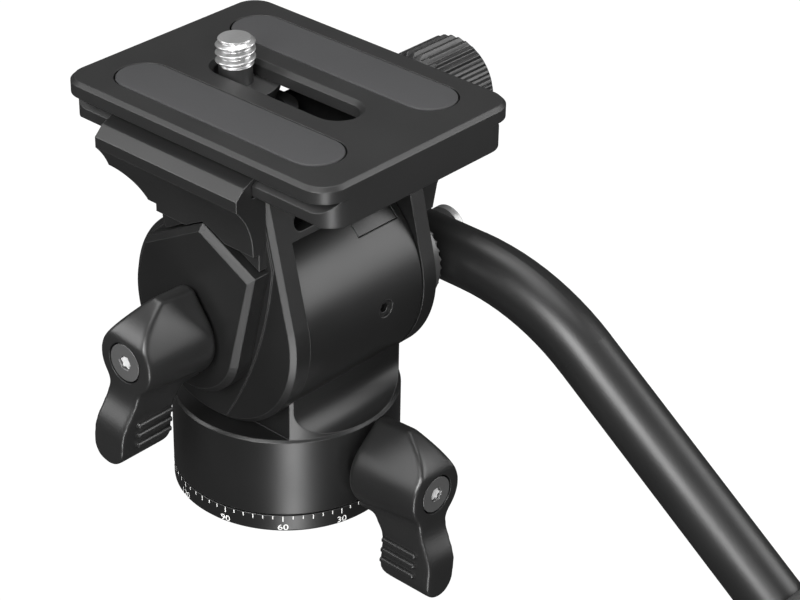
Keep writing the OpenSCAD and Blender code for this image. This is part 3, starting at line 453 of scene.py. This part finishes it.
# Sizes are in millimetres of the knob's own frame: Z out along the stud, Y up to the ridge.
knob_back, knob_l = 0.6, 13.55
ridge_top, ridge_half = 8.7, 0.9
collar_r, collar_ridge = 6.0, 7.9
flare_z, flare_r, flare_ridge, ridge_rise = 1.3, 6.5, 8.4, 0.7
barrel_r, barrel_foot = 5.3, 265
barrel_steps, barrel_sides = 16, 30
lever_kick, lever_reach, lever_half = 2.7, 17.5, 3.15
lever_neck, lever_fillet = 2, 3
tip_y = -lever_reach


def barrel_row(depth, radius, ridge):
    """Section of the barrel: round below, two flanks rising to the ridge."""
    corner = math.degrees(math.atan2(ridge, -ridge_half))
    touch = corner + math.degrees(math.acos(radius / math.hypot(ridge, ridge_half)))
    half = [(-ridge_half, ridge)] + arc((0, 0), radius, touch, barrel_foot, barrel_sides)
    return [Vector((x, y, depth)) for x, y in both_sides(half)]


def knob_barrel():
    """The barrel from its collar over the flare to the front face."""
    rows = [barrel_row(knob_back, collar_r, collar_ridge)]
    for t in [i / barrel_steps for i in range(barrel_steps + 1)]:
        depth = flare_z + (knob_l - flare_z) * t
        radius = flare_r + (barrel_r - flare_r) * t
        rows.append(barrel_row(depth, radius, min(flare_ridge + ridge_rise * t, ridge_top)))
    return skin(rows)


def lever_outline():
    """The lever seen along the stud, from its neck in the barrel down to the round tip."""
    beside = lever_half + lever_fillet
    below = math.sqrt((barrel_r + lever_fillet) ** 2 - beside ** 2)
    meet = math.degrees(math.atan2(below, beside))
    fillet = arc((-beside, -below), lever_fillet, start=meet, end=0, steps=8)
    tip = arc((0, tip_y + lever_half), lever_half, start=180, end=268, steps=14)
    return both_sides([(-lever_neck, 0)] + fillet + tip)


brow_back = (knob_back, ridge_top - 0.5)
brow_start, brow_pull, brow_foot = (7.4, ridge_top), (13.2, 5.6), (knob_l, 3.3)
kick_y, kick_fall = -4.8, lever_reach - 10
toe_r = 0.5
heel_r, heel_z = 2.4, 8.4
hollow_z, hollow_cut = 6, 3.6
hollow_y, hollow_rise = tip_y + 7, 6.5
side_steps, hollow_steps = 12, 8


def side_outline():
    """The knob from the side, X along the stud: sloped brow, kicked front, round toe and heel."""
    shares = [i / side_steps for i in range(side_steps + 1)]
    brow = [brow_back] + curve(brow_start, brow_pull, brow_foot, side_steps)
    front = [(knob_l + lever_kick * ease(t), kick_y - kick_fall * t) for t in shares]
    toe = arc((knob_l + lever_kick - toe_r, tip_y + toe_r), toe_r, start=0, end=-90, steps=4)
    heel = arc((heel_z, tip_y + heel_r), heel_r, start=-90, end=-180, steps=6)
    hollow = [(hollow_z - hollow_cut * ease(t), hollow_y + hollow_rise * t)
              for t in shares[:hollow_steps]]
    under_barrel = (knob_back, hollow[-1][1])
    return list(reversed(brow + front + toe + heel + hollow + [under_barrel]))


def temporary(name, place, points, faces):
    """An object that a modifier needs and that is taken out again."""
    mesh = bpy.data.meshes.new(name)
    mesh.from_pydata([place @ p for p in points], [], faces)
    held = bpy.data.objects.new(name, mesh)
    bpy.context.scene.collection.objects.link(held)
    return held


mould_cell = 0.2 * mm
mould_rounds = 44
profile_half = 9
hub_r, hub_back, hub_front = 4.6, 0.05, 4
cap_seat_r, cap_seat_z, cap_seat_end = 3.28, knob_l - 2, knob_l + 4
turned_aside = Matrix(((0, 0, -1, 0), (0, 1, 0, 0), (1, 0, 0, 0), (0, 0, 0, 1)))


def moulded_wing(name, node, place, material, body):
    """A wing knob with its edges rounded as the mould leaves them and its cap seat cut clean."""
    lever = prism(lever_outline(), knob_back, knob_l + lever_kick)
    outline = prism(side_outline(), -profile_half, profile_half)
    wing = temporary("wing", place, *joined(knob_barrel(), lever))
    profile = temporary("profile", place @ turned_aside, *outline)
    hub = temporary("hub", place, *skin(round_rows(hub_r, hub_back, hub_front)))
    seat = skin(round_rows(cap_seat_r, cap_seat_z, cap_seat_end))
    cutter = temporary("cap_cutter", place, *seat)

    def cells():
        step = wing.modifiers.new("cells", "REMESH")
        step.mode = "VOXEL"
        step.voxel_size = mould_cell
        step.use_smooth_shade = True

    def combine(operation, other):
        step = wing.modifiers.new("combine", "BOOLEAN")
        step.operation = operation
        step.solver = "EXACT"
        step.object = other

    cells()
    combine("INTERSECT", profile)
    combine("UNION", hub)
    cells()
    soften = wing.modifiers.new("soften", "SMOOTH")
    soften.factor = 0.5
    soften.iterations = mould_rounds
    combine("DIFFERENCE", cutter)
    bpy.context.view_layer.update()
    finished = wing.evaluated_get(bpy.context.evaluated_depsgraph_get())
    mesh = bpy.data.meshes.new_from_object(finished)
    for held in (wing, profile, hub, cutter):
        bpy.data.meshes.remove(held.data)
    mesh.name = name
    mesh.materials.clear()
    piece = add_piece(name, mesh, material, body, crease=50)
    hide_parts(node)


rib_half, rib_proud, rib_root, rib_round = 0.45, 0.6, 0.7, 0.2
rib_count, rib_first, rib_step = 3, -13.6, 1.8
rib_near, rib_far = 6.4, 13.4


def rib_row(side, middle, depth, shrink):
    """Flat-topped outline of a grip rib at a depth along the knob, its top towards one side."""
    foot, top = lever_half - rib_root, lever_half + rib_proud - shrink
    half = rib_half - shrink
    outline = (
        (foot, -half), (top - rib_round, -half), (top, rib_round - half),
        (top, half - rib_round), (top - rib_round, half), (foot, half))
    row = [Vector((side * x, middle + y, depth)) for x, y in outline]
    return row if side > 0 else list(reversed(row))


def grip_rib(side, middle):
    """One rib, drawn in a little at both ends."""
    ends = (
        (rib_near, rib_round), (rib_near + rib_round, 0),
        (rib_far - rib_round, 0), (rib_far, rib_round))
    return skin([rib_row(side, middle, depth, shrink) for depth, shrink in ends])


socket_r, socket_lobe, socket_z, socket_depth = 1.0, 0.18, 13.1, 0.6


def six_lobes(angle, height):
    """The wall of the cap's star socket."""
    return socket_r + socket_lobe * math.cos(6 * angle)


lever_set = Matrix.Rotation(math.radians(-6.5), 4, "Z")
knob_scale = Matrix.Scale(mm, 4)
pan_seat = Matrix(((1, 0, 0, 0), (0, 0, -1, -18.73 * mm), (0, 1, 0, 9.9 * mm), (0, 0, 0, 1)))
tilt_seat = Matrix(((0, 0, -1, -20.4 * mm), (-1, 0, 0, 0), (0, 1, 0, 35.3 * mm), (0, 0, 0, 1)))
knob_black = moulded_skin("knob_black", grey(0.008), grey(0.012), rough=0.34)
cap_grey = turned_metal("cap_grey", tone=0.20, rough=0.40, metal=0.85)
socket_bright = turned_metal("socket_bright", tone=0.5, rough=0.30, metal=0.2)
rib_places = [(side, rib_first + k * rib_step) for side in (1, -1) for k in range(rib_count)]
for body, seat in (("pan_lock", pan_seat), ("tilt_lock", tilt_seat)):
    place = seat @ lever_set @ knob_scale
    moulded_wing(f"{body}_wing", f"{body}_knob", place, knob_black, body)
    ribs, rib_faces = joined(*[grip_rib(side, middle) for side, middle in rib_places])
    ribs = [place @ p for p in ribs]
    mesh_piece(f"{body}_ribs", ribs, rib_faces, knob_black, body)
    star, star_faces = skin([ring_row(six_lobes, z) for z in (socket_z - socket_depth, socket_z)])
    star = [place @ p for p in star]
    mesh_piece(f"{body}_socket", star, star_faces, socket_bright, body)
dress(cap_grey, "pan_lock_cap", "tilt_lock_cap")
dress(steel, "pan_lock_stud")
dress(brass, "tilt_lock_insert")


# Tilt yoke and its shaft
# The casting that tilts: two arms joined by the clamp's platform, black anodised, with the
# axle, spring washers, gabled cover and the screws that hold them.
dress(anodised, "tilt_yoke", "tilt_cover")
dress(steel, "tilt_axle", "tilt_spring_washers")
dress(black_steel, "cover_screws", "axle_grub_screws")


# Dovetail clamp
# A fixed jaw screwed to the left arm and a sliding one drawn in on the right by a knurled
# knob on a screw, all machined from bar and anodised, with brighter edges: partly cut
# edges, partly a painted highlight.
jaw_black = blasted_black("jaw_black", tone=0.010, rough=0.36, edge_tone=0.12)
dress(jaw_black, "fixed_jaw", "movable_jaw", "clamp_knob")
dress(steel, "clamp_screw", "clamp_clip", "jaw_guide_pins")
dress(black_steel, "jaw_screws")


# Quick-release plate
# A milled dovetail plate, blasted and anodised, with two dark grey rubber pads let into
# round-ended recesses in its top.
plate_black = blasted_black("plate_black", tone=0.011, rough=0.42, edge_tone=0.035)
pad_rubber = moulded_skin("pad_rubber", (0.015, 0.015, 0.016), (0.022, 0.022, 0.023), rough=0.7)
dress(plate_black, "quick_release_plate")
pads_low, pads_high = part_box("plate_pads")
pad_r, pad_round = 4.45 * mm, 0.3 * mm
pad_sides, pad_steps = 16, 5


def pad_row(middle, inset, height):
    """Round-ended outline of a pad, drawn in by an inset."""
    radius = pad_r - inset
    front = arc((middle, pads_high.y - pad_r), radius, 0, 180, pad_sides)
    back = arc((middle, pads_low.y + pad_r), radius, 180, 360, pad_sides)
    return [Vector((x, y, height)) for x, y in front + back]


def pad(middle):
    """One pad: upright sides and a rounded upper rim."""
    rows = [pad_row(middle, 0, pads_low.z)]
    for i in range(pad_steps + 1):
        a = math.pi / 2 * i / pad_steps
        inset, drop = pad_round * (1 - math.cos(a)), pad_round * (1 - math.sin(a))
        rows.append(pad_row(middle, inset, pads_high.z - drop))
    return skin(rows)


pads, pad_faces = joined(pad(pads_low.x + pad_r), pad(pads_high.x - pad_r))
rubber_pads = mesh_piece("rubber_pads", pads, pad_faces, pad_rubber, "plate")
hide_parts("plate_pads")


# Camera screw
# Stainless quarter-inch screw that slides in the plate's slot: bright rolled thread, turned head
# with a slot below, a washer to hold it and a folding wire ring to turn it by. The head, neck,
# washer and ring are coloured a darker grey than the thread as painted shade, down in the slot.
stainless = turned_metal("stainless", tone=0.58, rough=0.27, metal=0.88)
# A darker grey for the parts down in the plate's slot: painted shade, not a different metal.
slot_shade_grey = turned_metal("slot_shade_grey", tone=0.16, rough=0.34)
dress(slot_shade_grey, "screw_washer", "screw_ring")
stud_low, stud_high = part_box("camera_screw")
stud_y = (stud_low.y + stud_high.y) / 2
stud_pitch = inch / 20
stud_crest, stud_root, stud_neck = 3.1 * mm, 2.4 * mm, 2.6 * mm
stud_neck_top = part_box("quick_release_plate")[1].z + 0.3 * mm
stud_bevel, stud_step = 0.6 * mm, 0.08 * mm
head_r = stud_high.x
head_top = stud_low.z + 1.38 * mm
head_slot_top = stud_low.z + 0.6 * mm
head_slot_half = 0.7 * mm


def stud_wall(angle, height):
    """The thread, running out into the neck below and bevelled at the top."""
    cut = stud_root + (stud_crest - stud_root) * thread_flank(angle, height, stud_pitch)
    runout = stud_neck + (height - stud_neck_top)
    return min(cut, max(runout, stud_root), stud_crest - stud_bevel + (stud_high.z - height))


def cheek_row(side, height, steps=24):
    """Outline of the screw's head on one side of its driver slot."""
    start = math.asin(head_slot_half / head_r)
    turn = [start + (math.pi - 2 * start) * i / steps for i in range(steps + 1)]
    row = [Vector((head_r * math.cos(a), side * head_r * math.sin(a), height)) for a in turn]
    return row if side > 0 else list(reversed(row))


def cheek(side):
    return skin([cheek_row(side, stud_low.z), cheek_row(side, head_slot_top)])


stud_rows = round_rows(head_r, head_slot_top, head_top)
stud_rows += round_rows(stud_neck, head_top, stud_neck_top)
stud_rows += [ring_row(stud_wall, z) for z in heights(stud_neck_top, stud_high.z, stud_step)]
stud, stud_faces = joined(skin(stud_rows), cheek(1), cheek(-1))
stud = [p + Vector((0, stud_y, 0)) for p in stud]
threaded_stud = mesh_piece(
    "threaded_stud", stud, stud_faces, stainless, "camera_stud", crease=40)
# Faces below the neck's top take the darker grey: painted shade for the head and neck in the
# slot.
threaded_stud.data.materials.append(slot_shade_grey)
for face in threaded_stud.data.polygons:
    face.material_index = int(face.center.z < stud_neck_top)
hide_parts("camera_screw")


# Pan handle
# A bent aluminium tube, anodised, bolted against the toothed rosette on the right arm with
# a rubber washer between them, and closed by a moulded cap at the far end of its grip.
tube_black = blasted_black(
    "tube_black", tone=0.008, rough=0.38, edge_tone=0.03, edge_r=0.02 * mm)
rosette_grey = turned_metal("rosette_grey", tone=0.10, rough=0.42, metal=0.6)
bolt_grey = turned_metal("bolt_grey", tone=0.36, rough=0.34, metal=0.5)
dress(tube_black, "handle_tube", "handle_plug")
dress(rosette_grey, "handle_rosette")
dress(bolt_grey, "handle_bolt")
dress(seal_rubber, "handle_washer")
dress(knob_black, "grip_cap")


# Foam grip
# A sleeve of closed-cell foam rubber pushed over the end of the tube, with soft rounded
# rims and a skin that is never quite even.
def foam_skin(name):
    """Closed-cell foam: matt, finely pitted, slightly cloudy."""
    pit_size, cloud_size = 0.35 * mm, 9 * mm
    material, shade = new_finish(name)
    place = object_place(shade)
    pits = speckle(shade, place, pit_size, detail=4.0)
    cloud = speckle(shade, place, cloud_size)
    return close_finish(material, shade, {
        "Base Color": blend_tones(shade, 0.6 * pits + 0.4 * cloud, grey(0.009), grey(0.024)),
        "Roughness": 0.8 + 0.12 * cloud,
        "Normal": relief(shade, pits, strength=0.5, depth=0.12 * mm),
    })


grip_start = Vector((24.7, -79.59, -0.31)) * mm
grip_down = math.radians(35.88)
grip_place = Matrix.Translation(grip_start) @ Matrix.Rotation(math.pi / 2 + grip_down, 4, "X")
grip_l, grip_r, grip_bore = 100 * mm, 8 * mm, 4.95 * mm
grip_rim, grip_step, rim_steps = 1.6 * mm, 2 * mm, 6
long_wave, short_wave = 7 * mm, 3 * mm
wave_height, wave_drop = 0.03 * mm, 0.07 * mm


def foam_wall(angle, height):
    """Outside of the sleeve: rounded over at both rims, with a faint unevenness."""
    drop = max(grip_rim - min(height, grip_l - height), 0) / grip_rim
    wave = math.sin(height / long_wave + 2 * angle) + math.sin(height / short_wave - 3 * angle)
    uneven = wave_height * wave - wave_drop
    return grip_r + uneven - grip_rim * (1 - math.sqrt(1 - drop * drop))


near_rim = [grip_rim * (1 - math.cos(math.pi / 2 * i / rim_steps)) for i in range(rim_steps)]
far_rim = [grip_l - z for z in reversed(near_rim)]
grip_levels = near_rim + heights(grip_rim, grip_l - grip_rim, grip_step) + far_rim
grip_rows = [ring_row(foam_wall, z) for z in grip_levels] + round_rows(grip_bore, grip_l, 0)
sleeve, sleeve_faces = skin(grip_rows, closed=True)
sleeve = [grip_place @ p for p in sleeve]
foam_black = foam_skin("foam_black")
foam_sleeve = mesh_piece(
    "foam_sleeve", sleeve, sleeve_faces, foam_black, "handle", crease=60)
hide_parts("handle_grip")


# Studio
# A plain pale floor well below the head with pale walls far off, soft boxes placed where the
# edges and rounds catch them, and the camera at the photograph's angle.
floor_z, floor_half, wall_top = -0.42, 6.0, 8.0
floor_glow, world_glow = 1.05, 0.055
white = (1, 1, 1, 1)
corner_signs = ((-1, -1), (1, -1), (1, 1), (-1, 1))
floor_corners = [
    (x * floor_half, y * floor_half, z) for z in (floor_z, wall_top) for x, y in corner_signs]
floor_faces = [(0, 1, 2, 3)] + [(k, k + 4, (k + 1) % 4 + 4, (k + 1) % 4) for k in range(4)]
floor_mesh = bpy.data.meshes.new("floor")
floor_mesh.from_pydata(floor_corners, [], floor_faces)
floor = bpy.data.objects.new("floor", floor_mesh)
bpy.context.scene.collection.objects.link(floor)
floor_finish, floor_shade = new_finish("floor_pale")
glow = floor_shade.node("Emission", {}, {"Color": white, "Strength": floor_glow})
floor_shade.node("OutputMaterial", {}, {"Surface": glow})
floor_mesh.materials.append(floor_finish)
floor.visible_glossy = False
floor.visible_diffuse = False
floor.visible_shadow = False

lit_point = Vector((0, -0.01, 0.04))
lamp_distance = 0.9


def soft_box(name, direction, width, height, power):
    """A rectangular studio light in a direction from the head, turned towards it."""
    lamp = bpy.data.lights.new(name, "AREA")
    lamp.shape = "RECTANGLE"
    lamp.size = width
    lamp.size_y = height
    lamp.energy = power
    holder = bpy.data.objects.new(name, lamp)
    place = lit_point + Vector(direction).normalized() * lamp_distance
    holder.location = place
    holder.rotation_euler = (lit_point - place).to_track_quat("-Z", "Y").to_euler()
    bpy.context.scene.collection.objects.link(holder)


soft_box("low_strip", (-0.57, -0.68, -0.44), width=0.22, height=0.70, power=7)
soft_box("right_box", (0.65, -0.61, 0.36), width=0.60, height=0.70, power=7.4)
soft_box("front_box", (-0.66, 0.57, 0.43), width=0.40, height=0.60, power=5)
soft_box("left_box", (-0.80, -0.26, 0.54), width=0.40, height=0.42, power=12.5)
soft_box("rear_box", (-0.38, -0.80, 0.46), width=0.25, height=0.25, power=3)
soft_box("top_box", (0.12, 0.16, 0.97), width=0.76, height=0.76, power=8.4)

world = bpy.data.worlds.new("studio_white")
world.use_nodes = True
background = world.node_tree.nodes["Background"]
background.inputs["Color"].default_value = white
background.inputs["Strength"].default_value = world_glow
bpy.context.scene.world = world
bpy.context.scene.view_settings.view_transform = "Standard"

azimuth = math.radians(-48.46)
elevation = math.radians(30.75)
roll = math.radians(1.07)
eye = Vector((-237.1, -234.0, 229.8)) * mm
back = Vector((
    math.sin(azimuth) * math.cos(elevation),
    -math.cos(azimuth) * math.cos(elevation),
    math.sin(elevation)))
level = Vector((math.cos(azimuth), math.sin(azimuth), 0))
up = back.cross(level)
right = level * math.cos(roll) + up * math.sin(roll)
top = up * math.cos(roll) - level * math.sin(roll)
lens = bpy.data.cameras.new("camera")
lens.sensor_width = 36
lens.lens = 111.1
lens.clip_start = 0.01
lens.clip_end = 50
camera = bpy.data.objects.new("camera", lens)
camera.matrix_world = Matrix.Translation(eye) @ Matrix((right, top, back)).transposed().to_4x4()
bpy.context.scene.collection.objects.link(camera)
bpy.context.scene.camera = camera
